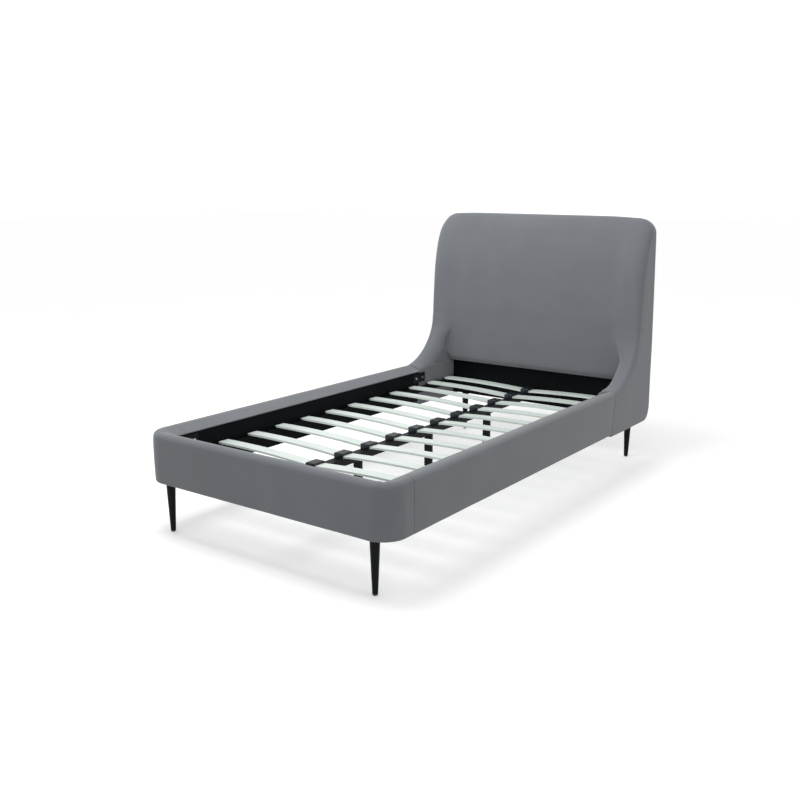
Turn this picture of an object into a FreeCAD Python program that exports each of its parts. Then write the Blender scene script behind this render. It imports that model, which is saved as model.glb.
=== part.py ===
import FreeCAD, Part
import math
import os
import Sketcher

# Upholstered sleigh bed for one sleeper. Millimetres, +Z up, +Y towards the headboard.
# The origin is on the floor, under the middle of the bed.

doc = FreeCAD.newDocument("sleigh_bed")
sheet = doc.addObject("Spreadsheet::Sheet", "sizes")

DIMENSIONS = [
    ("bed_width", 1180.0, "overall width over the upholstered sides"),
    ("bed_length", 2135.0, "foot face to the lowest part of the headboard's back"),
    ("bed_height", 1184.0, "floor to the top of the headboard"),
    ("leg_height", 210.0, "floor to the underside of the frame"),
    ("rail_height", 190.0, "height of the upholstered rails"),
    ("rail_depth", 88.5, "thickness of the upholstered rails"),
    ("core_depth", 56.0, "thickness of the timber box inside a rail"),
    ("core_wall", 15.0, "board thickness of that box"),
    ("top_padding", 28.0, "padding over the top of the timber"),
    ("base_padding", 8.0, "fabric and batten under the timber"),
    ("foot_wrap", 135.0, "how far the foot end wraps round onto the sides"),
    ("foot_corner", 90.0, "plan radius of the foot end's corners"),
    ("top_round", 22.0, "outer top edge radius of the padding"),
    ("edge_round", 12.0, "other long edge radii of the padding"),
    ("wing_reach", 425.0, "length of a wing along the floor, from the back"),
    ("wing_sweep", 300.0, "radius where a wing sweeps up from the rail"),
    ("wing_neck", 181.0, "depth of a wing where it stands upright"),
    ("neck_start", 598.0, "height where the upright stretch of a wing starts"),
    ("neck_end", 860.0, "height where the headboard starts to lean back"),
    ("crown_front", 117.0, "top front of the headboard, from the back plane"),
    ("crown_height", 1154.0, "height where the rolled top starts"),
    ("crown_round", 33.2, "radius of the rolled top"),
    ("head_lean", 670.0, "radius of the wings' fronts above the neck"),
    ("pad_lean", 1012.0, "radius of the pad's front above the neck"),
    ("back_height", 250.0, "height of the headboard's back lower corner"),
    ("back_corner", 40.0, "radius of that corner"),
    ("back_lean", 45.0, "how far the back leans forward over its height"),
    ("back_margin", 14.0, "outer side to the back cover's edge"),
    ("back_sheet", 6.0, "thickness of the back cover"),
    ("head_corner", 65.0, "radius of the headboard's top corners, seen from the front"),
    ("wing_ply", 36.0, "thickness of a wing's plywood profile"),
    ("wing_inset", 27.0, "padding on the outer side of that profile"),
    ("ply_edge", 16.0, "padding over that profile's front edge"),
    ("ply_ramp", 95.0, "length of each straight cut under the wing's sweep"),
    ("ply_step", 12.0, "rise of the first cut"),
    ("ply_top_gap", 48.0, "foam between that profile and the rolled top"),
    ("ply_rise", 84.0, "rise of the second cut"),
    ("pad_bottom", 397.0, "height of the headboard pad's lower edge"),
    ("pad_front_low", 137.0, "front of the pad at its lower edge, from the back plane"),
    ("pad_front_high", 159.0, "front of the pad along its upright stretch"),
    ("pad_knee", 698.0, "height where the pad's front turns upright"),
    ("pad_depth", 42.0, "thickness of the headboard pad"),
    ("board_drop", 9.0, "headboard's board below the rolled top's start"),
    ("ply", 18.0, "thickness of the headboard's boards"),
    ("cross_front", 90.0, "front of the cross board, from the back plane"),
    ("beam_depth", 60.0, "depth of the beam over the rear legs"),
    ("beam_height", 52.0, "height of that beam"),
    ("slat_count", 12.0, "rows of slats"),
    ("slat_first", 156.8, "foot face to the middle of the first slat"),
    ("slat_pitch", 164.8, "distance from slat to slat"),
    ("slat_width", 53.0, "width of a slat"),
    ("slat_thick", 8.0, "thickness of a slat"),
    ("slat_crown", 6.0, "how far a slat bows up at its middle"),
    ("slat_outer", 299.0, "underside of a slat at its outer end"),
    ("slat_inner", 286.7, "underside of a slat at its inner end"),
    ("slat_gap", 4.5, "slat end to the side's inner face"),
    ("cap_web", 5.0, "web between the two slats in a centre cap"),
    ("cap_width", 44.0, "width of a centre cap across the rail"),
    ("cap_wall", 3.0, "wall of the plastic caps and clips"),
    ("cap_height", 22.0, "height of a centre cap"),
    ("cap_mouth", 14.0, "height of the openings in a centre cap"),
    ("cap_round", 4.5, "radius of a centre cap's upper edges"),
    ("play", 0.3, "clearance round a slat in its cap"),
    ("clip_reach", 10.0, "how far an end clip reaches in along its slat"),
    ("clip_height", 8.5, "height of an end clip"),
    ("ledge_width", 23.0, "width of the slat ledge"),
    ("ledge_height", 26.0, "height of the slat ledge"),
    ("spine_width", 40.0, "width of the steel centre rail"),
    ("spine_height", 30.0, "height of the steel centre rail"),
    ("spine_top", 283.5, "height of its top"),
    ("tube_wall", 1.5, "wall of the steel tubes"),
    ("plate", 3.0, "thickness of the steel plates and brackets"),
    ("hanger_reach", 34.0, "how far a hanger holds the centre rail's end"),
    ("prop_first", 577.5, "foot face to the first centre leg"),
    ("prop_pitch", 497.0, "distance between the centre legs"),
    ("prop_width", 35.0, "centre leg, across the bed"),
    ("prop_depth", 15.0, "centre leg, along the bed"),
    ("prop_plate", 62.0, "length of the plate on top of a centre leg"),
    ("prop_bottom", 22.0, "height of a centre leg's lower end"),
    ("prop_end", 20.0, "length of its solid, threaded end"),
    ("foot_radius", 12.5, "radius of a levelling foot"),
    ("foot_thick", 8.0, "thickness of a levelling foot's pad"),
    ("stem_radius", 4.0, "radius of its stem"),
    ("stem_top", 41.0, "height of the stem's upper end"),
    ("leg_top_radius", 18.5, "radius of a corner leg at the top"),
    ("leg_tip_radius", 10.0, "radius of a corner leg at the glide"),
    ("glide_height", 8.0, "height of a leg's glide"),
    ("pin_radius", 3.0, "radius of the pin on a glide"),
    ("pin_length", 12.0, "length of the pin on a glide"),
    ("leg_front_inset", 92.0, "front leg's middle from the outer side"),
    ("leg_front_back", 44.0, "front leg's middle from the foot face"),
    ("leg_rear_inset", 83.0, "right rear leg's middle from the outer side"),
    ("leg_rear_inset_left", 145.0, "left rear leg's middle from the outer side"),
    ("leg_rear_back", 52.0, "rear leg's middle from the back plane"),
    ("hanger_radius", 4.0, "radius of the legs' hanger bolts"),
    ("hanger_length", 34.0, "how far a hanger bolt stands out of its leg"),
    ("bracket_low", 318.0, "height of the brackets' lower edge"),
    ("bracket_height", 48.0, "height of the brackets"),
    ("bracket_long", 104.0, "length of the brackets along a side"),
    ("bracket_short", 56.0, "length of the corner brackets across the foot"),
    ("bolt_first", 26.0, "foot end to the first bolt"),
    ("bolt_pitch", 56.0, "distance between a bracket's two bolts"),
    ("bolt_radius", 3.0, "radius of the bracket bolts"),
    ("bolt_head", 7.0, "radius of their heads"),
    ("bolt_head_thick", 4.0, "thickness of their heads"),
]

COLUMN = "A"
for row, (alias, number, meaning) in enumerate(DIMENSIONS, start=1):
    cell = COLUMN + str(row)
    sheet.set(cell, str(number))
    sheet.setAlias(cell, alias)
    sheet.set("B" + str(row), meaning)
doc.recompute()


class Size:
    """A length that keeps its number beside the expression FreeCAD binds it with."""

    def __init__(self, number, text):
        self.number = number
        self.text = text

    def __add__(self, other):
        other = as_size(other)
        return Size(self.number + other.number, "(" + self.text + " + " + other.text + ")")

    def __radd__(self, other):
        return as_size(other) + self

    def __sub__(self, other):
        other = as_size(other)
        return Size(self.number - other.number, "(" + self.text + " - " + other.text + ")")

    def __rsub__(self, other):
        return as_size(other) - self

    def __mul__(self, other):
        other = as_size(other)
        return Size(self.number * other.number, "(" + self.text + " * " + other.text + ")")

    def __rmul__(self, other):
        return as_size(other) * self

    def __truediv__(self, other):
        other = as_size(other)
        return Size(self.number / other.number, "(" + self.text + " / " + other.text + ")")

    def __neg__(self):
        return self * -1


def as_size(value):
    if isinstance(value, Size):
        return value
    return Size(float(value), "(" + repr(float(value)) + ")")


def cell_size(alias):
    return Size(float(sheet.get(alias)), "sizes." + alias)


S = {alias: cell_size(alias) for alias, number, meaning in DIMENSIONS}

# Places worked out from the driving dimensions.
foot_y = -S["bed_length"] / 2
head_y = S["bed_length"] / 2
outer_x = S["bed_width"] / 2
inner_x = outer_x - S["rail_depth"]
core_x = inner_x + S["core_depth"]
base_z = S["leg_height"]
rail_top = S["leg_height"] + S["rail_height"]
core_low = base_z + S["base_padding"]
core_high = rail_top - S["top_padding"]
foot_inner = foot_y + S["rail_depth"]
foot_core = foot_inner - S["core_depth"]
foot_seam = foot_y + S["foot_wrap"]
head_seam = head_y - S["wing_reach"]
cross_y = head_y - S["cross_front"]
beam_y = cross_y + S["ply"]
back_y = head_y - S["back_sheet"]
ply_in = outer_x - S["wing_inset"] - S["wing_ply"]
ply_out = outer_x - S["wing_inset"]
spine_low = S["spine_top"] - S["spine_height"]
SIDES = (("left", -1), ("right", 1))

products = []


# ---- small helpers -------------------------------------------------------------------

def bind(thing, path, size):
    """Bind one property to a size."""
    thing.setExpression(path, as_size(size).text)


def place(thing, x=0, y=0, z=0):
    """Bind the position of an object."""
    for axis, size in (("x", x), ("y", y), ("z", z)):
        bind(thing, "Placement.Base." + axis, size)


def turn(thing, axis, angle):
    """Turn an object about an axis through its own origin."""
    thing.Placement = FreeCAD.Placement(FreeCAD.Vector(), FreeCAD.Rotation(axis, angle))


def keep(thing, label):
    """Mark an object as one finished piece of the bed."""
    thing.Label = label
    products.append(thing)
    return thing


def block(name, x, y, z):
    """A rectangular block from three (low, high) pairs."""
    box = doc.addObject("Part::Box", name)
    bind(box, "Length", x[1] - x[0])
    bind(box, "Width", y[1] - y[0])
    bind(box, "Height", z[1] - z[0])
    place(box, x[0], y[0], z[0])
    return box


def mirrored_span(side, near, far):
    """The (low, high) pair of a span on one side of the centreline."""
    if side > 0:
        return (near, far)
    return (-far, -near)


def rod(name, radius, length, at, axis=None):
    """A cylinder that starts at a point and runs along +X, -X, -Y or +Z."""
    cylinder = doc.addObject("Part::Cylinder", name)
    if axis == "+X":
        turn(cylinder, FreeCAD.Vector(0, 1, 0), 90)
    if axis == "-X":
        turn(cylinder, FreeCAD.Vector(0, 1, 0), -90)
    if axis == "-Y":
        turn(cylinder, FreeCAD.Vector(1, 0, 0), 90)
    bind(cylinder, "Radius", radius)
    bind(cylinder, "Height", length)
    place(cylinder, *at)
    return cylinder


def joined(name, things):
    if len(things) == 1:
        return things[0]
    fusion = doc.addObject("Part::MultiFuse", name)
    fusion.Shapes = things
    return fusion


def group(name, things):
    compound = doc.addObject("Part::Compound", name)
    compound.Links = things
    return compound


def without(name, base, tool):
    cut = doc.addObject("Part::Cut", name)
    cut.Base = base
    cut.Tool = tool
    return cut


def within(name, base, tool):
    common = doc.addObject("Part::Common", name)
    common.Base = base
    common.Tool = tool
    return common


def new_body(name):
    return doc.addObject("PartDesign::Body", name)


def new_sketch(body, name, role):
    """An empty sketch on one of the body's own origin planes."""
    sketch = body.newObject("Sketcher::SketchObject", name)
    plane = [item for item in body.Origin.OriginFeatures if item.Role == role][0]
    sketch.AttachmentSupport = [(plane, "")]
    sketch.MapMode = "FlatFace"
    return sketch


def arc_middle(start, end, radius):
    """The middle of an arc that bulges to the right of start -> end, left if negative."""
    chord = end - start
    half = chord.Length / 2
    rise = abs(radius) - math.sqrt(radius * radius - half * half)
    right = FreeCAD.Vector(chord.y, -chord.x, 0).normalize()
    return (start + end) / 2 + right * math.copysign(rise, radius)


def add_outline(sketch, corners):
    """A closed outline. A corner is (u, v) or (u, v, radius of the arc to the next one)."""
    points = [FreeCAD.Vector(as_size(c[0]).number, as_size(c[1]).number, 0) for c in corners]
    ends = []
    for i, corner in enumerate(corners):
        start = points[i]
        end = points[(i + 1) % len(points)]
        if len(corner) == 2:
            index = sketch.addGeometry(Part.LineSegment(start, end), False)
            ends.append((index, 1, 2))
            continue
        middle = arc_middle(start, end, corner[2].number)
        index = sketch.addGeometry(Part.Arc(start, middle, end), False)
        forward = (sketch.getPoint(index, 1) - start).Length < (sketch.getPoint(index, 2) - start).Length
        ends.append((index, 1, 2) if forward else (index, 2, 1))
    for i, (index, first, last) in enumerate(ends):
        after = ends[(i + 1) % len(ends)]
        sketch.addConstraint(Sketcher.Constraint("Coincident", index, last, after[0], after[1]))
    for i, (index, first, last) in enumerate(ends):
        for kind, size in (("DistanceX", corners[i][0]), ("DistanceY", corners[i][1])):
            size = as_size(size)
            number = sketch.addConstraint(
                Sketcher.Constraint(kind, -1, 1, index, first, size.number))
            sketch.setExpression("Constraints[" + str(number) + "]", size.text)
        if len(corners[i]) == 3:
            radius = corners[i][2]
            if radius.number < 0:
                radius = -radius
            number = sketch.addConstraint(Sketcher.Constraint("Radius", index, radius.number))
            sketch.setExpression("Constraints[" + str(number) + "]", radius.text)


def padded(name, role, outlines, length, at=(0, 0, 0)):
    """A body made of one pad: along +Z from XY, along -Y from XZ, along +X from YZ."""
    body = new_body(name)
    sketch = new_sketch(body, name + "_outline", role)
    for corners in outlines:
        add_outline(sketch, corners)
    pad = body.newObject("PartDesign::Pad", name + "_pad")
    pad.Profile = sketch
    bind(pad, "Length", length)
    place(body, *at)
    doc.recompute()
    return body


def turned(name, corners, at):
    """A body of revolution about its own Z axis; the outline is in (radius, height)."""
    body = new_body(name)
    sketch = new_sketch(body, name + "_outline", "XZ_Plane")
    add_outline(sketch, corners)
    spin = body.newObject("PartDesign::Revolution", name + "_spin")
    spin.Profile = sketch
    spin.ReferenceAxis = (sketch, ["V_Axis"])
    spin.Angle = 360
    place(body, *at)
    doc.recompute()
    return body


def edge_names(shape, test):
    """Names of the edges whose middle, and box, pass a test."""
    names = []
    for number, edge in enumerate(shape.Edges, start=1):
        middle = edge.valueAt((edge.FirstParameter + edge.LastParameter) / 2)
        if test(middle, edge.BoundBox):
            names.append("Edge" + str(number))
    return names


def round_edges(body, name, test, radius):
    """Add one fillet to the edges that pass the test."""
    base = body.Tip
    fillet = body.newObject("PartDesign::Fillet", name)
    fillet.Base = (base, edge_names(base.Shape, test))
    bind(fillet, "Radius", radius)
    doc.recompute()
    return fillet


def near(a, b):
    return abs(a - as_size(b).number) < 0.05


def rectangle(x, z):
    return [(x[0], z[0]), (x[1], z[0]), (x[1], z[1]), (x[0], z[1])]


# ---- foot end --------------------------------------------------------------------------

def foot_outline(half_outer, front, half_inner, inner, back):
    """Plan of the foot end: a straight front with two short returns."""
    return [
        (-half_outer, back), (-half_outer, front), (half_outer, front), (half_outer, back),
        (half_inner, back), (half_inner, inner), (-half_inner, inner), (-half_inner, back),
    ]


def foot_block(name, half_outer, front, half_inner, inner, back, low, high, corner):
    """The foot end's plan as a solid, with its two plan corners rounded."""
    outline = foot_outline(half_outer, front, half_inner, inner, back)
    body = padded(name, "XY_Plane", [outline], high - low, (0, 0, low))
    round_edges(
        body, name + "_corners",
        lambda p, box: near(p.y, front) and near(abs(p.x), half_outer) and box.ZLength > 10,
        corner)
    return body


padding = S["rail_depth"] - S["core_depth"]
front_leg_x = outer_x - S["leg_front_inset"]
front_leg_y = foot_y + S["leg_front_back"]
rear_leg_x = {"left": outer_x - S["leg_rear_inset_left"],
              "right": outer_x - S["leg_rear_inset"]}
rear_leg_y = head_y - S["leg_rear_back"]


def make_foot_end(bolt_holes):
    core = foot_block("foot_core", core_x, foot_core, inner_x, foot_inner, foot_seam,
                      core_low, core_high, S["foot_corner"] - padding)
    wall = S["core_wall"]
    reach = front_leg_x - 3 * wall
    hollow = block("foot_hollow", (-reach, reach), (foot_core + wall, foot_inner - wall),
                   (core_low + wall, core_high - wall))
    hangers = [
        rod("foot_hanger_bore_" + name, S["hanger_radius"] + S["play"],
            S["hanger_length"], (side * front_leg_x, front_leg_y, base_z))
        for name, side in SIDES
    ]
    tools = joined("foot_core_tools", [hollow] + hangers + bolt_holes)
    keep(without("foot_frame", core, tools), "foot_frame")

    shell = foot_block("foot_shell", outer_x, foot_y, inner_x, foot_inner, foot_seam,
                       base_z, rail_top, S["foot_corner"])
    outer_top = rail_top - base_z
    round_edges(
        shell, "foot_shell_top",
        lambda p, box: near(p.z, outer_top) and box.ZLength < 0.1
        and (p.y < foot_core.number or abs(p.x) > core_x.number) and box.DiagonalLength > 60,
        S["top_round"])
    space = foot_block("foot_space", core_x, foot_core, inner_x - 1, foot_inner + 1,
                       foot_seam + 1, core_low, core_high, S["foot_corner"] - padding)
    bores = [
        rod("foot_cover_bore_" + name, S["hanger_radius"] + 2, S["hanger_length"],
            (side * front_leg_x, front_leg_y, base_z - 1))
        for name, side in SIDES
    ]
    keep(without("foot_cover", shell, joined("foot_cover_tools", [space] + bores)), "foot_cover")


# ---- side rails ------------------------------------------------------------------------

def make_side_rail(name, side, bolt_holes):
    length = head_seam - foot_seam
    wall = S["core_wall"]
    span = mirrored_span(side, inner_x, core_x)
    hole = mirrored_span(side, inner_x + wall, core_x - wall)
    tube = padded(
        "side_rail_tube_" + name, "XZ_Plane",
        [rectangle(span, (core_low, core_high)),
         rectangle(hole, (core_low + wall, core_high - wall))],
        length, (0, head_seam, 0))
    holes = joined("side_rail_holes_" + name, bolt_holes)
    keep(without("side_rail_frame_" + name, tube, holes), "side_rail_frame_" + name)

    section = [
        (side * inner_x, core_high), (side * inner_x, rail_top), (side * outer_x, rail_top),
        (side * outer_x, base_z), (side * inner_x, base_z), (side * inner_x, core_low),
        (side * core_x, core_low), (side * core_x, core_high),
    ]
    cover = padded("side_rail_cover_" + name, "XZ_Plane", [section], length, (0, head_seam, 0))
    round_edges(
        cover, "side_rail_top_" + name,
        lambda p, box: near(abs(p.x), outer_x) and near(p.z, rail_top) and box.YLength > 100,
        S["top_round"])
    round_edges(
        cover, "side_rail_edges_" + name,
        lambda p, box: box.YLength > 100 and (
            (near(abs(p.x), inner_x) and near(p.z, rail_top))
            or (near(abs(p.x), outer_x) and near(p.z, base_z))),
        S["edge_round"])
    keep(cover, "side_rail_cover_" + name)

    ledge_top = S["slat_outer"] - S["cap_wall"] - S["play"]
    ledge = block(
        "slat_ledge_" + name, mirrored_span(side, inner_x - S["ledge_width"], inner_x),
        (foot_inner + 2, cross_y - 2), (ledge_top - S["ledge_height"], ledge_top))
    keep(ledge, "slat_ledge_" + name)


# ---- headboard -------------------------------------------------------------------------

def lean_at(height):
    """How far the inner back line has come forward at a height."""
    run = S["crown_height"] - S["back_height"]
    return S["back_lean"] * (as_size(height) - S["back_height"]) / run


back_top_y = back_y - S["back_lean"]
crown_front_y = head_y - S["crown_front"]
neck_y = head_y - S["wing_neck"]
pad_y = head_y - S["pad_front_high"]


def make_wing(name, side, bolt_holes):
    """A wing: a plywood profile inside a padded shell that sweeps up from the rail."""
    profile = [
        (head_seam, base_z),
        (head_seam, rail_top, S["wing_sweep"]),
        (neck_y, S["neck_start"]),
        (neck_y, S["neck_end"], -S["head_lean"]),
        (crown_front_y, S["crown_height"], -S["crown_round"]),
        (back_top_y, S["crown_height"]),
        (back_y, S["back_height"], -S["back_corner"]),
        (back_y - S["back_corner"], base_z),
    ]
    width = S["rail_depth"]
    start = inner_x if side > 0 else -outer_x
    shell = padded("wing_shell_" + name, "YZ_Plane", [profile], width, (start, 0, 0))
    rounded = within("wing_rounded_" + name, shell, head_face("wing_face_" + name))

    inset = S["ply_edge"]
    step = S["ply_step"]
    ramp = S["ply_ramp"]
    top = S["crown_height"] - S["ply_top_gap"]

    def ply_profile(overcut):
        return [
            (head_seam - overcut, core_low),
            (head_seam - overcut, core_high),
            (head_seam + ramp, core_high + step),
            (head_seam + 2 * ramp, core_high + step + S["ply_rise"]),
            (neck_y + inset, S["neck_start"]),
            (neck_y + inset, S["neck_end"]),
            (crown_front_y + inset, top),
            (back_y - lean_at(top) + overcut, top),
            (back_y + overcut, S["back_height"]),
            (back_y - S["back_corner"], core_low),
        ]

    ply_start = ply_in if side > 0 else -ply_out
    ply = padded("wing_ply_" + name, "YZ_Plane", [ply_profile(0)], S["wing_ply"],
                 (ply_start, 0, 0))
    ply_space = padded("wing_ply_space_" + name, "YZ_Plane", [ply_profile(15)],
                       S["wing_ply"], (ply_start, 0, 0))
    board_space = padded(
        "wing_board_space_" + name, "YZ_Plane", [board_profile()],
        ply_in - inner_x + 1, (inner_x - 1 if side > 0 else -ply_in, 0, 0))
    beam_space = block(
        "wing_beam_space_" + name, mirrored_span(side, inner_x - 1, ply_in),
        (beam_y, beam_y + S["beam_depth"] + 12), (base_z - 1, base_z + S["beam_height"]))
    face_holes = [
        rod("wing_hanger_gap_" + name, S["hanger_radius"] + 2, S["hanger_length"],
            (side * rear_leg_x[name], rear_leg_y, base_z - 1))
    ]
    tools = joined("wing_tools_" + name,
                   [ply_space, board_space, beam_space] + face_holes + bolt_holes)
    keep(without("wing_cover_" + name, rounded, tools), "wing_cover_" + name)
    ply_holes = joined("wing_ply_holes_" + name, bolt_holes)
    keep(without("wing_frame_" + name, ply, ply_holes), "wing_frame_" + name)


def head_face(name):
    """The headboard's outline seen from the front, as a deep block."""
    corner = S["head_corner"]
    top = S["bed_height"]
    outline = [
        (-outer_x, base_z - 1), (outer_x, base_z - 1), (outer_x, top - corner, corner),
        (outer_x - corner, top), (corner - outer_x, top, corner), (-outer_x, top - corner),
    ]
    return padded(name, "XZ_Plane", [outline], S["wing_reach"] + 10, (0, head_y + 5, 0))


def board_profile():
    """Side view of the plywood board that the headboard pad is stapled to."""
    low = head_y - S["pad_front_low"] + S["pad_depth"]
    high = pad_y + S["pad_depth"]
    top = S["crown_height"] - S["board_drop"]
    crown = crown_front_y + S["crown_round"]
    thick = S["ply"]
    return [
        (low, S["pad_bottom"]), (high, S["pad_knee"]), (high, S["neck_end"]),
        (crown, top), (crown + thick, top), (high + thick, S["neck_end"]),
        (high + thick, S["pad_knee"]), (low + thick, S["pad_bottom"]),
    ]


def make_headboard():
    board = board_profile()
    keep(padded("headboard_board", "YZ_Plane", [board], 2 * ply_in, (-ply_in, 0, 0)),
         "headboard_board")

    top = S["crown_height"] - S["board_drop"] + 1
    pad_outline = [
        (head_y - S["pad_front_low"], S["pad_bottom"]),
        (pad_y, S["pad_knee"]),
        (pad_y, S["neck_end"], -S["pad_lean"]),
        (crown_front_y, S["crown_height"], -S["crown_round"]),
        (back_top_y, S["crown_height"]),
        (back_y - lean_at(top), top),
        (board[3][0], top), board[2], board[1], board[0],
    ]
    keep(padded("headboard_pad", "YZ_Plane", [pad_outline], 2 * inner_x, (-inner_x, 0, 0)),
         "headboard_pad")

    low = S["back_height"] + 2
    sheet_outline = [
        (back_y - lean_at(low), low), (back_y - lean_at(top), top),
        (head_y - lean_at(top), top), (head_y - lean_at(low), low),
    ]
    half = outer_x - S["back_margin"]
    keep(padded("headboard_back_cover", "YZ_Plane", [sheet_outline], 2 * half, (-half, 0, 0)),
         "headboard_back_cover")

    beam = padded("headboard_beam_blank", "YZ_Plane",
                  [rectangle((beam_y, beam_y + S["beam_depth"]),
                             (base_z, base_z + S["beam_height"]))],
                  2 * ply_in, (-ply_in, 0, 0))
    round_edges(
        beam, "beam_corner",
        lambda p, box: near(p.z, base_z) and near(p.y, beam_y + S["beam_depth"]),
        S["back_corner"])
    bores = [
        rod("beam_bore_" + name, S["hanger_radius"] + S["play"], S["hanger_length"],
            (side * rear_leg_x[name], rear_leg_y, base_z))
        for name, side in SIDES
    ]
    keep(without("headboard_beam", beam, joined("beam_bores", bores)), "headboard_beam")
    keep(block("headboard_cross_board", (-inner_x, inner_x), (cross_y, beam_y),
               (base_z + 2, S["pad_bottom"] - 0.5)), "headboard_cross_board")


# ---- centre rail, its legs and the levelling feet ----------------------------------------

def make_centre_rail():
    wall = S["tube_wall"]
    plate = S["plate"]
    half = S["spine_width"] / 2
    start = foot_inner + plate
    end = cross_y - plate
    tube = padded(
        "centre_rail", "XZ_Plane",
        [rectangle((-half, half), (spine_low, S["spine_top"])),
         rectangle((wall - half, half - wall), (spine_low + wall, S["spine_top"] - wall))],
        end - start, (0, end, 0))
    keep(tube, "centre_rail")

    hangers = []
    for name, wall_y, inward in (("foot", foot_inner, 1), ("head", cross_y, -1)):
        back = (wall_y, wall_y + plate) if inward > 0 else (wall_y - plate, wall_y)
        reach = S["hanger_reach"]
        arm = (wall_y, wall_y + reach) if inward > 0 else (wall_y - reach, wall_y)
        wide = (-half - plate, half + plate)
        pieces = [
            block("hanger_back_" + name, wide, back, (spine_low - plate, S["spine_top"] - 4)),
            block("hanger_base_" + name, wide, arm, (spine_low - plate, spine_low)),
            block("hanger_left_" + name, (-half - plate, -half), arm,
                  (spine_low - plate, S["spine_top"] - 4)),
            block("hanger_right_" + name, (half, half + plate), arm,
                  (spine_low - plate, S["spine_top"] - 4)),
        ]
        hangers.append(joined("centre_rail_hanger_" + name, pieces))
    keep(group("centre_rail_hangers", hangers), "centre_rail_hangers")


def make_centre_leg(number):
    y = foot_y + S["prop_first"] + (number - 1) * S["prop_pitch"]
    wall = S["tube_wall"]
    wide = S["prop_width"] / 2
    deep = S["prop_depth"] / 2
    top = spine_low - S["plate"]
    name = "centre_leg_" + str(number)
    tube = block(name + "_tube", (-wide, wide), (y - deep, y + deep), (S["prop_bottom"], top))
    hollow = block(name + "_hollow", (wall - wide, wide - wall), (y - deep + wall, y + deep - wall),
                   (S["prop_bottom"] + S["prop_end"], top))
    bore = rod(name + "_bore", S["stem_radius"] + S["play"], S["prop_end"] + 1,
               (0, y, S["prop_bottom"] - 0.5))
    half_plate = S["prop_plate"] / 2
    half_rail = S["spine_width"] / 2 - 2
    plate = block(name + "_plate", (-half_rail, half_rail), (y - half_plate, y + half_plate),
                  (top, spine_low))
    stem = without(name + "_stem", tube, joined(name + "_inside", [hollow, bore]))
    keep(joined(name, [stem, plate]), name)

    radius = S["foot_radius"]
    thick = S["foot_thick"]
    outline = [
        (0, 0), (radius - 1.5, 0), (radius, 1.5), (radius, thick - 2.5), (radius - 3, thick),
        (S["stem_radius"], thick), (S["stem_radius"], S["stem_top"] - 1),
        (S["stem_radius"] - 1, S["stem_top"]), (0, S["stem_top"]),
    ]
    keep(turned("levelling_foot_" + str(number), outline, (0, y, 0)),
         "levelling_foot_" + str(number))


# ---- corner legs -------------------------------------------------------------------------

def make_corner_leg(name, x, y):
    """A turned, tapered leg with a hanger bolt in its top and a glide under its tip."""
    top = base_z
    low = S["glide_height"]
    bore = S["pin_radius"] + S["play"]
    stud_top = top + S["hanger_length"] - 4
    pin_top = low + S["pin_length"]
    chamfer = 2
    outline = [
        (bore, low), (S["leg_tip_radius"], low), (S["leg_top_radius"], top - chamfer),
        (S["leg_top_radius"] - chamfer, top), (S["hanger_radius"], top),
        (S["hanger_radius"], stud_top), (0, stud_top), (0, pin_top + 2), (bore, pin_top + 2),
    ]
    keep(turned("corner_leg_" + name, outline, (x, y, 0)), "corner_leg_" + name)
    tip = S["leg_tip_radius"]
    glide = [
        (0, 0), (tip / 2, 0, low), (tip, low - 1.5), (tip, low),
        (S["pin_radius"], low), (S["pin_radius"], pin_top), (0, pin_top),
    ]
    return turned("leg_glide_" + name, glide, (x, y, 0))


# ---- slats, end clips and centre caps ------------------------------------------------------

def slat_y(row):
    return foot_y + S["slat_first"] + row * S["slat_pitch"]


def slat_outline(side):
    """A slat's bowed edge view, of even thickness."""
    outer = inner_x - S["slat_gap"]
    inner = S["cap_web"] / 2
    thick = S["slat_thick"]
    half = (outer - inner) / 2
    radius = (half * half + S["slat_crown"] * S["slat_crown"]) / (2 * S["slat_crown"])
    bend = radius * side
    return [
        (side * outer, S["slat_outer"]), (side * outer, S["slat_outer"] + thick, bend),
        (side * inner, S["slat_inner"] + thick), (side * inner, S["slat_inner"], -bend),
    ]


def make_slats():
    half = S["slat_width"] / 2
    for row in range(int(S["slat_count"].number)):
        for name, side in SIDES:
            label = "slat_" + name + "_" + str(row + 1).zfill(2)
            keep(padded(label, "XZ_Plane", [slat_outline(side)], S["slat_width"],
                        (0, slat_y(row) + half, 0)), label)


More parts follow.
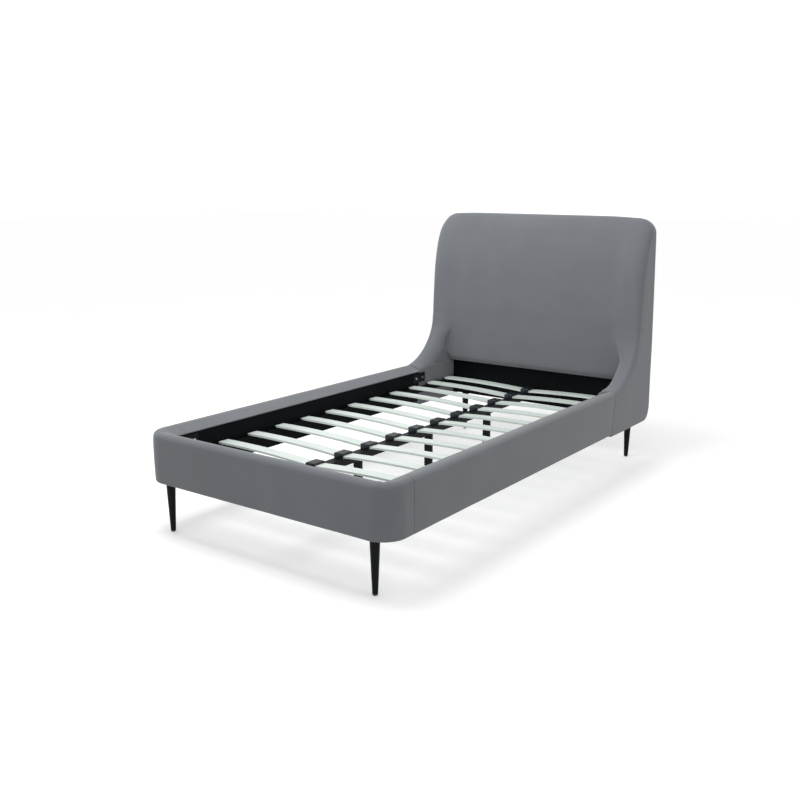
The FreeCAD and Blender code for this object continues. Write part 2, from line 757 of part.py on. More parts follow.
def make_clips_and_caps():
    wall = S["cap_wall"]
    play = S["play"]
    half = S["slat_width"] / 2 + play
    outside = half + wall
    low = S["spine_top"]
    high = low + S["cap_height"]
    web = S["cap_web"] / 2
    wide = S["cap_width"] / 2
    clips = []
    caps = []
    for row in range(int(S["slat_count"].number)):
        y = slat_y(row)
        tag = str(row + 1)
        for name, side in SIDES:
            base = S["slat_outer"] - wall - play
            tray = block("clip_tray_" + name + tag,
                         mirrored_span(side, inner_x - S["clip_reach"], inner_x),
                         (y - outside, y + outside), (base, base + S["clip_height"]))
            slot = block("clip_slot_" + name + tag,
                         mirrored_span(side, inner_x - S["clip_reach"] - 1, inner_x - 2),
                         (y - half, y + half), (base + wall, base + S["clip_height"] + 1))
            clips.append(without("clip_" + name + tag, tray, slot))
        blank = padded("cap_blank_" + tag, "YZ_Plane",
                       [rectangle((y - outside, y + outside), (low, high))],
                       S["cap_width"], (-wide, 0, 0))
        round_edges(blank, "cap_round_" + tag,
                    lambda p, box: near(p.z, high) and box.ZLength < 1, S["cap_round"])
        slots = [
            block("cap_slot_" + name + tag,
                  mirrored_span(side, web - play, wide + 1), (y - half, y + half),
                  (low + wall, low + wall + S["cap_mouth"]))
            for name, side in SIDES
        ]
        caps.append(without("cap_" + tag, blank, joined("cap_slots_" + tag, slots)))
    keep(group("slat_end_clips", clips), "slat_end_clips")
    keep(group("slat_centre_caps", caps), "slat_centre_caps")


# ---- brackets and their bolts --------------------------------------------------------------

bolt_z = S["bracket_low"] + S["bracket_height"] / 2
shank_short = S["core_wall"] + S["plate"] - 1
shank_long = ply_in - inner_x + S["wing_ply"]


def bolt(name, side, y, shank):
    """A button-head bolt through a bracket on a side's inner face, pointing outwards."""
    face = inner_x - S["plate"]
    axis = "+X" if side > 0 else "-X"
    head = rod(name + "_head", S["bolt_head"], S["bolt_head_thick"],
               (side * (face - S["bolt_head_thick"]), y, bolt_z), axis)
    body = rod(name + "_shank", S["bolt_radius"], shank + 1, (side * (face - 1), y, bolt_z), axis)
    return joined(name, [head, body])


def bolt_bore(name, side, y, length):
    axis = "+X" if side > 0 else "-X"
    return rod(name, S["bolt_radius"] + S["play"], length + 6,
               (side * (inner_x - S["plate"] - 3), y, bolt_z), axis)


def make_brackets():
    plate = S["plate"]
    high = S["bracket_low"] + S["bracket_height"]
    span = (S["bracket_low"], high)
    corner_angles = []
    head_plates = []
    bolts = []
    bores = {}
    for name, side in SIDES:
        along = block("corner_arm_" + name, mirrored_span(side, inner_x - plate, inner_x),
                      (foot_inner, foot_inner + S["bracket_long"]), span)
        across = block("corner_foot_" + name,
                       mirrored_span(side, inner_x - S["bracket_short"], inner_x),
                       (foot_inner, foot_inner + plate), span)
        foot_bolt_y = foot_inner + S["bolt_first"]
        rail_bolt_y = foot_bolt_y + S["bolt_pitch"]
        bores[name] = {
            "foot": bolt_bore("foot_bolt_bore_" + name, side, foot_bolt_y, shank_short),
            "rail": bolt_bore("rail_bolt_bore_" + name, side, rail_bolt_y, shank_short),
        }
        angle = joined("corner_angle_" + name, [along, across])
        drills = joined("corner_drills_" + name, [bores[name]["foot"], bores[name]["rail"]])
        corner_angles.append(without("corner_bracket_" + name, angle, drills))
        bolts.append(bolt("foot_bolt_" + name, side, foot_bolt_y, shank_short))
        bolts.append(bolt("rail_bolt_" + name, side, rail_bolt_y, shank_short))

        half = S["bracket_long"] / 2
        strap = block("head_strap_" + name, mirrored_span(side, inner_x - plate, inner_x),
                      (head_seam - half, head_seam + half), span)
        near_y = head_seam - S["bolt_pitch"] / 2
        far_y = head_seam + S["bolt_pitch"] / 2
        bores[name]["rail_head"] = bolt_bore("rail_head_bore_" + name, side, near_y, shank_short)
        bores[name]["wing"] = bolt_bore("wing_bolt_bore_" + name, side, far_y, shank_long)
        drills = joined("head_drills_" + name, [bores[name]["rail_head"], bores[name]["wing"]])
        head_plates.append(without("head_bracket_" + name, strap, drills))
        bolts.append(bolt("rail_head_bolt_" + name, side, near_y, shank_short))
        bolts.append(bolt("wing_bolt_" + name, side, far_y, shank_long))
    keep(group("corner_brackets", corner_angles), "corner_brackets")
    keep(group("head_brackets", head_plates), "head_brackets")
    keep(group("bracket_bolts", bolts), "bracket_bolts")
    return bores


bores = make_brackets()
make_foot_end([bores["left"]["foot"], bores["right"]["foot"]])
for side_name, side_sign in SIDES:
    make_side_rail(side_name, side_sign,
                   [bores[side_name]["rail"], bores[side_name]["rail_head"]])
    make_wing(side_name, side_sign, [bores[side_name]["wing"]])
make_headboard()
make_centre_rail()
for prop_number in (1, 2, 3):
    make_centre_leg(prop_number)
glides = []
for side_name, side_sign in SIDES:
    glides.append(make_corner_leg("front_" + side_name, side_sign * front_leg_x, front_leg_y))
    glides.append(make_corner_leg("rear_" + side_name, side_sign * rear_leg_x[side_name],
                                  rear_leg_y))
keep(group("leg_glides", glides), "leg_glides")
make_slats()
make_clips_and_caps()
doc.recompute()


# ---- checks and export ---------------------------------------------------------------------

for thing in doc.Objects:
    if "Invalid" in thing.State or "Error" in thing.State:
        raise RuntimeError(thing.Name + " failed: " + str(thing.State))
os.makedirs("parts", exist_ok=True)
for piece in products:
    if piece.Shape.isNull() or not piece.Shape.isValid() or not piece.Shape.Solids:
        raise RuntimeError(piece.Label + " has no valid shape")
for piece in products:
    piece.Shape.exportStep("parts/" + piece.Label + ".step")
print(len(products), "pieces")
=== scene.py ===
"""The looks of an upholstered sleigh bed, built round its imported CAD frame. Metres, +Z up,
+Y towards the headboard, origin on the floor under the middle of the bed."""
import math

import bpy
import bmesh
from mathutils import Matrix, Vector, noise


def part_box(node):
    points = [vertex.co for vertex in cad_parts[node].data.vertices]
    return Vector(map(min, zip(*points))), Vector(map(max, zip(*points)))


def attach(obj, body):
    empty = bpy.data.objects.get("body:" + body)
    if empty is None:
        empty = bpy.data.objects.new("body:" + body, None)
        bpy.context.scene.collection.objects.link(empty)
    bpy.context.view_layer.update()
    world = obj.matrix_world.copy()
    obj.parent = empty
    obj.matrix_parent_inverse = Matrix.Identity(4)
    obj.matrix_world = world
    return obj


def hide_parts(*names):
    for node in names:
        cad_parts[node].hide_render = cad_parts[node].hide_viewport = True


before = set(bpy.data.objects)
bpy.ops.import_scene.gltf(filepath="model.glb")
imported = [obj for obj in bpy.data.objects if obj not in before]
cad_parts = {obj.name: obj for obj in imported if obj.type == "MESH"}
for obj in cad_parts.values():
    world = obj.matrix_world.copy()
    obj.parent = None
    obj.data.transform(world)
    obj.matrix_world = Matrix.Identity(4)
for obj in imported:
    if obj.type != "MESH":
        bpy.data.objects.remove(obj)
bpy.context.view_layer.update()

MM = 0.001
BODY = "frame"


def low(node):
    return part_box(node)[0]


def high(node):
    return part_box(node)[1]


# ---- places taken from the CAD frame --------------------------------------------------------

OUTER_X = high("side_rail_cover_right")[0]
INNER_X = low("side_rail_cover_right")[0]
DEPTH = OUTER_X - INNER_X
RAIL_LOW = low("side_rail_cover_right")[2]
RAIL_TOP = high("side_rail_cover_right")[2]
CORE_OUT = high("side_rail_frame_right")[0]
CORE_LOW = low("side_rail_frame_right")[2]
CORE_HIGH = high("side_rail_frame_right")[2]
FOOT_Y = low("foot_cover")[1]
FOOT_SEAM = high("foot_cover")[1]
HEAD_SEAM = low("wing_cover_right")[1]
WING_BACK = high("wing_cover_right")[1]
HEAD_TOP = high("wing_cover_right")[2]
PAD_LOW = low("headboard_pad")[2]
PAD_FRONT = low("headboard_pad")[1]

# ---- sizes of the upholstery ----------------------------------------------------------------

GAP = 0.3 * MM              # air between the covers and the timber inside them
SEAM_GAP = 0.2 * MM         # air between a rail's cover and its neighbours
TOP_ROUND = 20 * MM         # outer top edge of the rails
CREST = 32 * MM             # how far in the cover's top stays level
CREST_ROUND = 44 * MM       # the bend where it starts to fall
FALL = 24 * MM              # how much it falls from there to its inner lip
LIP_PROUD = 0.8 * MM        # how far the lip stands past the CAD cover's inner face
LIP_ROUND = 2.5 * MM
UNDER = 58 * MM             # how far in the cover reaches under the timber
UNDER_ROUND = 2 * MM        # the edge there
LOW_ROUND = 6 * MM          # outer bottom edge of the rails
SKIRT = 7 * MM              # how far the cover hangs below its CAD solid
COVER_LOW = RAIL_LOW - SKIRT
CROWN = 2.2 * MM            # how far the foam swells in the middle of a face
SEAM_ROLL = 2.6 * MM        # how far a cover rolls in at a seam
NEAR_SEAM = [share * SEAM_ROLL for share in (0, 0.12, 0.4, 1, 2, 4)]    # rings at a seam
CORNER = 90 * MM            # plan radius of the foot end's corners
SEAM_TILT = 12.6 * MM       # how far the seam between rail and wing leans each way
TILT_REACH = 90 * MM        # length of rail over which that lean fades
RAIL_PITCH = 22 * MM        # distance between the rings of a rail's cover
FOOT_PITCH = 7 * MM         # and of the foot end's, which has to follow its corners
FABRIC_WAVE = 0.55 * MM     # height of the unevenness of the stretched fabric


def material_nodes(name):
    mat = bpy.data.materials.new(name)
    mat.use_nodes = True
    nodes = mat.node_tree.nodes
    shader = nodes["Principled BSDF"]
    return mat, nodes, mat.node_tree.links, shader


# ---- mesh helpers ---------------------------------------------------------------------------

NEARLY_STRAIGHT = math.radians(89.5)    # half angle of a corner too flat to round

def new_piece(name, verts, faces, mat, smooth=True):
    """A mesh object with doubles merged and its faces turned outwards."""
    mesh = bpy.data.meshes.new(name)
    mesh.from_pydata(verts, [], faces)
    mesh.validate()
    piece = bpy.data.objects.new(name, mesh)
    bpy.context.collection.objects.link(piece)
    tidy = bmesh.new()
    tidy.from_mesh(mesh)
    bmesh.ops.remove_doubles(tidy, verts=tidy.verts, dist=0.02 * MM)
    bmesh.ops.recalc_face_normals(tidy, faces=tidy.faces)
    tidy.to_mesh(mesh)
    tidy.free()
    for face in mesh.polygons:
        face.use_smooth = smooth
    mesh.materials.append(mat)
    return piece


def corner_arc(before, corner, after, radius, count):
    """Points of the arc that rounds a corner of a 2-D outline. In place of a radius there
    may be a pair: how far the arc reaches along the side before and the side after."""
    here = Vector(corner)
    back = (Vector(before) - here).normalized()
    forth = (Vector(after) - here).normalized()
    half = back.angle(forth) / 2
    if half > NEARLY_STRAIGHT:
        return [here.copy() for _ in range(count + 1)]
    pair = radius if isinstance(radius, tuple) else (radius / math.tan(half),) * 2
    weight = math.sin(half)
    start, end = here + back * pair[0], here + forth * pair[1]
    points = []
    for k in range(count + 1):
        s = k / count
        a, b, c = (1 - s) ** 2, 2 * s * (1 - s) * weight, s * s
        points.append((start * a + here * b + end * c) / (a + b + c))
    return points


def outline(corners):
    """A closed 2-D loop. corners are (u, v, radius, steps of the side that follows)."""
    total = len(corners)
    per_arc = 6
    arcs = [
        corner_arc(corners[i - 1][:2], corners[i][:2], corners[(i + 1) % total][:2],
                   corners[i][2], per_arc)
        for i in range(total)
    ]
    loop = []
    for i in range(total):
        loop += arcs[i]
        start, end = arcs[i][-1], arcs[(i + 1) % total][0]
        steps = corners[i][3]
        loop += [start.lerp(end, k / steps) for k in range(1, steps)]
    return loop


def stations(start, end, pitch):
    """Places of the rings along a cover, closer together where it rolls in at its seams."""
    *near, clear = NEAR_SEAM
    inside = end - start - 2 * clear
    count = round(inside / pitch)
    middle = [start + clear + inside * k / count for k in range(count + 1)]
    return [start + d for d in near] + middle + [end - d for d in reversed(near)]


def roll_in(distance, roll=SEAM_ROLL):
    """How far the skin is drawn in at that distance from a seam."""
    if distance >= roll:
        return 0.0
    return roll - math.sqrt(max(0.0, roll * roll - (roll - distance) ** 2))


def tube(rings, paired=False):
    """Vertices and faces of a closed tube through equal closed rings. With paired, a ring's
    second half runs back beside its first, and the ends are closed by a strip of quads."""
    count = len(rings[0])
    verts = [point for ring in rings for point in ring]
    faces = []
    for r in range(len(rings) - 1):
        for k in range(count):
            a, b = r * count + k, r * count + (k + 1) % count
            faces.append((a, b, b + count, a + count))
    last = (len(rings) - 1) * count
    if paired:
        for k in range(count // 2 - 1):
            strip = (k, k + 1, count - 2 - k, count - 1 - k)
            faces.append(strip)
            faces.append(tuple(last + i for i in reversed(strip)))
    else:
        faces.append(tuple(range(count)))
        faces.append(tuple(last + k for k in reversed(range(count))))
    return verts, faces


def smoothstep(edge0, edge1, x):
    """0 at edge0 and 1 at edge1, with a smooth change between them."""
    t = min(1.0, max(0.0, (x - edge0) / (edge1 - edge0)))
    return t * t * (3 - 2 * t)


def unevenness(point, strength):
    """The slight waviness of hand-stretched fabric over foam."""
    broad = noise.noise(Vector(point) * 9 + Vector((3.1, 0.7, 5.2)))
    fine = noise.noise(Vector(point) * 26 + Vector((1.4, 8.3, 2.6)))
    return strength * (broad + 0.35 * fine)


def wave(piece, strength):
    """Moves the vertices along their normals by the fabric's unevenness."""
    mesh = piece.data
    moved = [v.co + v.normal * unevenness(v.co, strength) for v in mesh.vertices]
    for v, co in zip(mesh.vertices, moved):
        v.co = co
    mesh.update()


def soften(piece):
    """One level of subdivision, which rounds the facets of a soft piece."""
    smooth = piece.modifiers.new("smooth_surface", "SUBSURF")
    smooth.levels = 1
    smooth.render_levels = 1


# ---- the padded rails and foot end ----------------------------------------------------------

def cover_section(inset):
    """The C-shaped section of a rail's cover: (distance from the outer face, height)."""
    bottom, top = COVER_LOW + inset, RAIL_TOP - inset
    lip = DEPTH + LIP_PROUD
    core_out = OUTER_X - CORE_OUT - GAP
    return outline([
        (inset, bottom, LOW_ROUND, 14),
        (inset, top, TOP_ROUND, 2),
        (CREST, top, CREST_ROUND, 8),
        (lip, top - FALL, LIP_ROUND, 1),
        (lip, CORE_HIGH + GAP, 1 * MM, 4),
        (core_out, CORE_HIGH + GAP, 0.5 * MM, 8),
        (core_out, CORE_LOW - GAP, 0.5 * MM, 3),
        (UNDER, CORE_LOW - GAP, 1 * MM, 1),
        (UNDER, bottom, UNDER_ROUND, 3),
    ])


def swell(across, height):
    """How far the foam crowns the outer face outwards."""
    if across >= TOP_ROUND / 2:
        return 0.0
    up = (height - COVER_LOW) / (RAIL_TOP - COVER_LOW)
    return CROWN * max(0.0, 1 - (2 * up - 1) ** 2)


def sweep_cover(name, path, mat):
    """Sweeps the cover's section along a path of (point, inward direction, distance from
    the nearest seam)."""
    rings = []
    for place, inward, distance in path:
        fade = smoothstep(0, 60 * MM, distance)
        ring = []
        for across, height in cover_section(roll_in(distance)):
            at = place + inward * (across - swell(across, height) * fade)
            ring.append((at.x, at.y, height))
        rings.append(ring)
    verts, faces = tube(rings)
    return new_piece(name, verts, faces, mat)


def rail_path(side):
    """The rail runs from the foot's seam to the leaning seam of the wing."""
    start, end = FOOT_SEAM + SEAM_GAP, HEAD_SEAM - SEAM_GAP
    inward = Vector((-side, 0, 0))
    return [
        (Vector((side * OUTER_X, y, 0)), inward, min(y - start, end - y))
        for y in stations(start, end, RAIL_PITCH)
    ]


def tilt(y, z):
    """Shifts a rail's points near the wing, so that the seam leans back towards its top."""
    share = smoothstep(TILT_REACH, 0, abs(y - HEAD_SEAM))
    up = (z - RAIL_LOW) / (RAIL_TOP - RAIL_LOW)
    return y + SEAM_TILT * share * (2 * up - 1)


def foot_path():
    """Round the foot end from the left seam to the right one: forwards along the left side,
    round its corner, across the front, and back along the right side."""
    straight = FOOT_SEAM - (FOOT_Y + CORNER)
    arc = CORNER * math.pi / 2
    front = 2 * (OUTER_X - CORNER)
    total = 2 * straight + 2 * arc + front
    path = []
    for s in stations(0, total, FOOT_PITCH):
        distance = min(s, total - s)
        if distance <= straight:
            at = Vector((OUTER_X, FOOT_SEAM - distance, 0))
            inward = Vector((-1, 0, 0))
        elif distance <= straight + arc:
            angle = (distance - straight) / CORNER
            centre = Vector((OUTER_X - CORNER, FOOT_Y + CORNER, 0))
            inward = Vector((-math.cos(angle), math.sin(angle), 0))
            at = centre - inward * CORNER
        else:
            at = Vector((OUTER_X - CORNER - (distance - straight - arc), FOOT_Y, 0))
            inward = Vector((0, 1, 0))
        if s < total / 2:
            at.x, inward.x = -at.x, -inward.x
        path.append((at, inward, distance))
    return path


PLEAT_ANGLE = math.radians(52)      # place of the tuck on each rounded corner
PLEAT_WIDTH = 4.5 * MM
PLEAT_DROP = 4.5 * MM
PLEAT_SINK = 1.4 * MM


def foot_pleats(piece):
    """A short tuck across the outer top edge at the middle of each rounded corner."""
    for v in piece.data.vertices:
        side = math.copysign(1, v.co.x)
        centre = Vector((side * (OUTER_X - CORNER), FOOT_Y + CORNER))
        arm = Vector((v.co.x, v.co.y)) - centre
        if arm.x * side < 0 or arm.y > 0:
            continue
        angle = math.atan2(-arm.y, abs(arm.x))
        off = (angle - PLEAT_ANGLE) * CORNER
        high_up = smoothstep(RAIL_TOP - 30 * MM, RAIL_TOP - 8 * MM, v.co.z)
        outside = smoothstep(30 * MM, 50 * MM, arm.length)
        near = math.exp(-(off / PLEAT_WIDTH) ** 2) * outside * high_up
        v.co.z -= PLEAT_DROP * near
        v.co.x -= side * PLEAT_SINK * near * math.cos(angle)
        v.co.y += PLEAT_SINK * near * math.sin(angle)
    piece.data.update()


# ---- the wings ------------------------------------------------------------------------------

NECK_Y = 889 * MM           # front edge of a wing where it stands upright
NECK_BLEND = 9 * MM         # softness of the change from the sweep to the upright
SWEEP = 300 * MM            # radius of the sweep up from the rail
SWEEP_START = 603 * MM      # y of the sweep's centre
SWEEP_LOW = RAIL_TOP - 3 * MM       # height of the sweep's lowest point
NECK_END = 860 * MM         # height where the front edge starts to lean back
LEAN_RADIUS = 670 * MM      # radius of that lean
CROWN_HEIGHT = 1154 * MM    # height of the rolled top's centre
CROWN_RADIUS = 33.2 * MM
CROWN_Y = 990 * MM
WING_LOW = RAIL_LOW - 16 * MM       # bottom edge of the wings, below the rails'
BACK_CORNER = 42 * MM       # rounding between a wing's bottom and back edges
BACK_PROUD = 11 * MM        # how far the fabric stands behind the wing's CAD solid
BACK_SWELL = 6 * MM         # and how much more halfway up
BACK_ROUND = 6 * MM         # rounding of a wing's outer back edge
HEAD_CORNER = 70 * MM       # radius of the headboard's upper right corner
LEFT_CORNER = 96 * MM       # and of the upper left one, which is rounder in the photo
CORNER_SINK = 7 * MM        # how far the top sinks towards both corners
SLANT = 10 * MM             # rise of the headboard's top from right to left
PAD_FOOT_Y = 930.5 * MM     # y of the headboard's front at its lower edge
PAD_KNEE = 698 * MM         # height where that front turns upright
PAD_RADIUS = 1012 * MM      # radius of its lean from NECK_END up
PAD_TOP = 1150 * MM         # that lean is followed up to here
FAN_TOP = 650 * MM          # above this the rows of a wing are level
ROLL_START = 1126 * MM      # where the front starts to roll over the top


def leaning(base, radius, height):
    """y on an arc that leaves the upright at NECK_END and leans back as it rises."""
    return base + radius - math.sqrt(radius ** 2 - (height - NECK_END) ** 2)


def wing_front(z):
    """y of a wing's front edge: a sweep up from the rail, an upright neck, and a lean."""
    if z >= NECK_END:
        return leaning(NECK_Y, LEAN_RADIUS, z)
    drop = min(max(0.0, SWEEP_LOW + SWEEP - z), SWEEP)
    return min(NECK_Y, SWEEP_START + math.sqrt(SWEEP ** 2 - drop ** 2))


def back_edge(z):
    """y of a wing's back edge, which leans forwards and swells a little."""
    share = (z - RAIL_LOW) / (CROWN_HEIGHT - RAIL_LOW)
    straight = WING_BACK + (CROWN_Y + CROWN_RADIUS - WING_BACK) * max(0.0, share)
    bulge = math.sin(math.pi * min(1.0, max(0.0, share)))
    return straight + BACK_PROUD + BACK_SWELL * bulge


def panel_front(z):
    """y of the headboard's front between the wings."""
    if z >= NECK_END:
        return leaning(PAD_FRONT, PAD_RADIUS, z)
    if z >= PAD_KNEE:
        return PAD_FRONT
    return PAD_FOOT_Y + (PAD_FRONT - PAD_FOOT_Y) * (z - PAD_LOW) / (PAD_KNEE - PAD_LOW)


def soft_min(a, b, blend):
    """The smaller of two lengths, with a rounded change from one to the other."""
    return min(a, b) - blend * math.log1p(math.exp(-abs(a - b) / blend))


def bezier(points, s):
    a, b, c, d = points
    r = 1 - s
    return a * r ** 3 + b * 3 * r * r * s + c * 3 * r * s * s + d * s ** 3


def running_lengths(points):
    """Length along a polyline up to each of its points."""
    lengths = [0.0]
    for a, b in zip(points, points[1:]):
        lengths.append(lengths[-1] + (b - a).length)
    return lengths


def along(points, lengths, distance):
    """The point at that distance along a polyline."""
    distance = min(max(distance, 0.0), lengths[-1])
    for k in range(1, len(points)):
        if distance <= lengths[k]:
            span = lengths[k] - lengths[k - 1]
            share = 0.0 if span == 0 else (distance - lengths[k - 1]) / span
            return points[k - 1].lerp(points[k], share)
    return points[-1].copy()


def front_curve():
    """A wing's front edge from the rail's seam to FAN_TOP, as (y, z) points."""
    points = []
    steps = 80
    start = math.asin((HEAD_SEAM + SEAM_TILT - SWEEP_START) / SWEEP)
    end = math.radians(80)
    for k in range(steps + 1):
        angle = start + (end - start) * k / steps
        y = SWEEP_START + SWEEP * math.sin(angle)
        z = SWEEP_LOW + SWEEP * (1 - math.cos(angle))
        if z < FAN_TOP:
            points.append(Vector((soft_min(y, NECK_Y, NECK_BLEND), z)))
    points.append(Vector((wing_front(FAN_TOP), FAN_TOP)))
    return points


def back_curve():
    """A wing's bottom and back edges from the rail's seam to FAN_TOP, as (y, z) points."""
    turn = Vector((WING_BACK - BACK_CORNER, WING_LOW + BACK_CORNER))
    points = [Vector((HEAD_SEAM - SEAM_TILT, WING_LOW)), Vector((turn.x, WING_LOW))]
    for k in range(1, 13):
        angle = math.pi / 2 * k / 12
        points.append(turn + BACK_CORNER * Vector((math.sin(angle), -math.cos(angle))))
    for k in range(1, 21):
        z = turn.y + (FAN_TOP - turn.y) * k / 20
        points.append(Vector((back_edge(z), z)))
    return points


FRONT, BACK = front_curve(), back_curve()
FRONT_LENGTHS, BACK_LENGTHS = running_lengths(FRONT), running_lengths(BACK)
FAN = FRONT_LENGTHS[-1]
UPRIGHT = ROLL_START - FAN_TOP
ROLL_ROWS = 10
LAST_ROW = 0.985            # the roll's last row stops just short of the crown's line


def roll_curves():
    """Front and back halves of the rolled top, each a Bezier curve that meets the crown
    level. Its handles are shares of the roll's rise and of its reach to the crown."""
    front = Vector((wing_front(ROLL_START), ROLL_START))
    behind = Vector((back_edge(ROLL_START), ROLL_START))
    step = wing_front(ROLL_START + MM) - wing_front(ROLL_START - MM)
    slope = Vector((step, 2 * MM)).normalized()
    crown = Vector((CROWN_Y, HEAD_TOP))
    rise = HEAD_TOP - ROLL_START
    before_crown = crown - Vector((0.55 * (crown.x - front.x), 0))
    after_crown = crown + Vector((0.6 * (behind.x - crown.x), 0))
    return (
        (front, front + slope * 0.62 * rise, before_crown, crown),
        (behind, behind + Vector((-0.1, 0.55)) * rise, after_crown, crown),
    )


ROLL_FRONT, ROLL_BACK = roll_curves()


def row(t):
    """Front and back (y, z) of the wing's row at t: a fan of rows from the seam up to FAN,
    level rows for UPRIGHT more, and last the rolled top, where t goes up by 1."""
    if t <= FAN:
        back_at = t / FAN * BACK_LENGTHS[-1]
        return along(FRONT, FRONT_LENGTHS, t), along(BACK, BACK_LENGTHS, back_at)
    if t <= FAN + UPRIGHT:
        z = FAN_TOP + t - FAN
        return Vector((wing_front(z), z)), Vector((back_edge(z), z))
    share = min(LAST_ROW, t - FAN - UPRIGHT)
    front, behind = bezier(ROLL_FRONT, share), bezier(ROLL_BACK, share)
    behind.y = front.y = (front.y + behind.y) / 2
    return front, behind


def roll_rows():
    """t and inset of the rows over the rolled top, where no ring is drawn in."""
    return [(FAN + UPRIGHT + k / ROLL_ROWS, 0) for k in range(1, ROLL_ROWS + 1)]


def last_before(near, far, still):
    """How far from near to far still(place) holds, found by halving."""
    for _ in range(40):
        middle = (near + far) / 2
        if still(middle):
            near = middle
        else:
            far = middle
    return far


def row_through(point):
    """The t of the row that passes through a (y, z) point."""
    def below(t):
        front, behind = row(t)
        line, arm = behind - front, point - front
        return line.x * arm.y - line.y * arm.x > 0

    return last_before(0.0, FAN + UPRIGHT, below)


def outer_edge(z, side):
    """x of the outer face, which rounds in towards the top of the headboard."""
    corner = HEAD_CORNER if side > 0 else LEFT_CORNER
    up = max(0.0, z - (HEAD_TOP - corner))
    return OUTER_X - corner + math.sqrt(max(0.0, corner ** 2 - up * up))


SOFT_FROM, SOFT_TO = 620 * MM, 1080 * MM    # heights over which a wing's edge softens
TOP_FROM, TOP_TO = 1030 * MM, 1130 * MM     # and softens further beside the rolled top


def outer_round(z):
    """Rounding of a wing's outer front edge: how far it reaches along the row and across."""
    soft = smoothstep(SOFT_FROM, SOFT_TO, z)
    top = smoothstep(TOP_FROM, TOP_TO, z)
    return TOP_ROUND + (24 * soft + 6 * top) * MM, TOP_ROUND + (44 * soft + 20 * top) * MM


DROOP_FROM = 880 * MM                       # height above which the top sinks and slants
SINK_FROM, SINK_TO = 360 * MM, 585 * MM     # distances from the middle, towards a corner
SLANT_LEVEL = -0.1                          # the slant is level here, as a share of OUTER_X


def droop(point):
    """Lets the headboard's top sink towards its corners and slant down to the right."""
    x, y, z = point
    share = smoothstep(DROOP_FROM, HEAD_TOP, z)
    sink = CORNER_SINK * smoothstep(SINK_FROM, SINK_TO, abs(x))
    sink += SLANT * (x / OUTER_X - SLANT_LEVEL) / 2
    return (x, y, z - sink * share)


PASSES_UNDER = 120 * MM     # a row that ends this far below the pad never meets it
JUST_UNDER = 40 * MM        # nor does one that would meet its front this far below it


def panel_depth(front, behind):
    """How deep the headboard's front lies behind a wing's front edge on that row. For a
    row that passes under the headboard it is the row's whole length."""
    line = (behind - front).normalized()
    reach = (behind - front).length

    def before_panel(depth):
        at = front + line * depth
        return at.x < panel_front(min(max(at.y, PAD_LOW), PAD_TOP))

    if behind.y < PAD_LOW - PASSES_UNDER:
        return reach
    depth = last_before(0.0, reach, before_panel)
    meets = (front + line * depth).y > PAD_LOW - JUST_UNDER
    return depth if meets else reach


DEEP_FROM, DEEP_TO = 30 * MM, 138 * MM      # depths over which the shell's hollow forms
FLANK = 19 * MM             # how far up a wing's inner wall the headboard's cover reaches
SHALLOW_INNER, SHALLOW_RIDGE = 412 * MM, 540 * MM       # ends of the slope where shallow
DEEP_INNER, DEEP_RIDGE = INNER_X - 6 * MM, INNER_X + 51 * MM    # and where it is deep
RIDGE_ROUND = 56 * MM       # depth of the ridge's rounding
SEAM_ROUND = 24 * MM        # and at the rail's seam, where it meets the rail's lip
HANDLE = 1 / 4              # the curves' handles on the slope, as a share of its width


def shell_curves(depth, near_seam):
    """The inside of the shell on one row: the wing's rounded ridge, and the hollow that
    leads into the headboard's front. Both are Bezier curves of (x, depth) points.
    near_seam is 0 at the rail's seam and 1 away from it."""
    deep = smoothstep(DEEP_FROM, DEEP_TO, depth)
    inner = (1 - deep) * SHALLOW_INNER + deep * DEEP_INNER
    ridge = (1 - deep) * SHALLOW_RIDGE + deep * DEEP_RIDGE
    width = ridge - inner
    middle = (1 - deep) * (inner + ridge) / 2 + deep * INNER_X
    half = max(depth / 2, 1e-6)
    slope = Vector((-width * (1 - deep), 2 * depth)) / 8
    round_depth = min(depth / 2, SEAM_ROUND + (RIDGE_ROUND - SEAM_ROUND) * near_seam)
    hollow_depth = min(depth / 2, FLANK)

    top, bend = Vector((ridge, 0)), Vector((middle, round_depth))
    handle = (1 - deep) * width * HANDLE + deep * 0.4 * (ridge - middle)
    ridge_curve = (top, top - Vector((handle, 0)), bend - slope * round_depth / half, bend)

    turn, low_point = Vector((middle, depth - hollow_depth)), Vector((inner, depth))
    handle = (1 - deep) * width * HANDLE + deep * 0.55 * (middle - inner)
    hollow_curve = (turn, turn + slope * hollow_depth / half,
                    low_point + Vector((handle, 0)), low_point)
    return ridge_curve, hollow_curve


def to_space(front, line, side, x, depth):
    """The place of an (x, depth) point of a row."""
    at = front + line * depth
    return droop((side * x, at.x, at.y))


def between(start, end, steps):
    """The points that divide a line into steps, without its ends."""
    return [start.lerp(end, k / steps) for k in range(1, steps)]


def kept_inside(points, length):
    """Keeps a short row's points between its front and its back."""
    if length >= 20 * MM:
        return points
    return [Vector((p.x, min(max(p.y, 0), length))) for p in points]


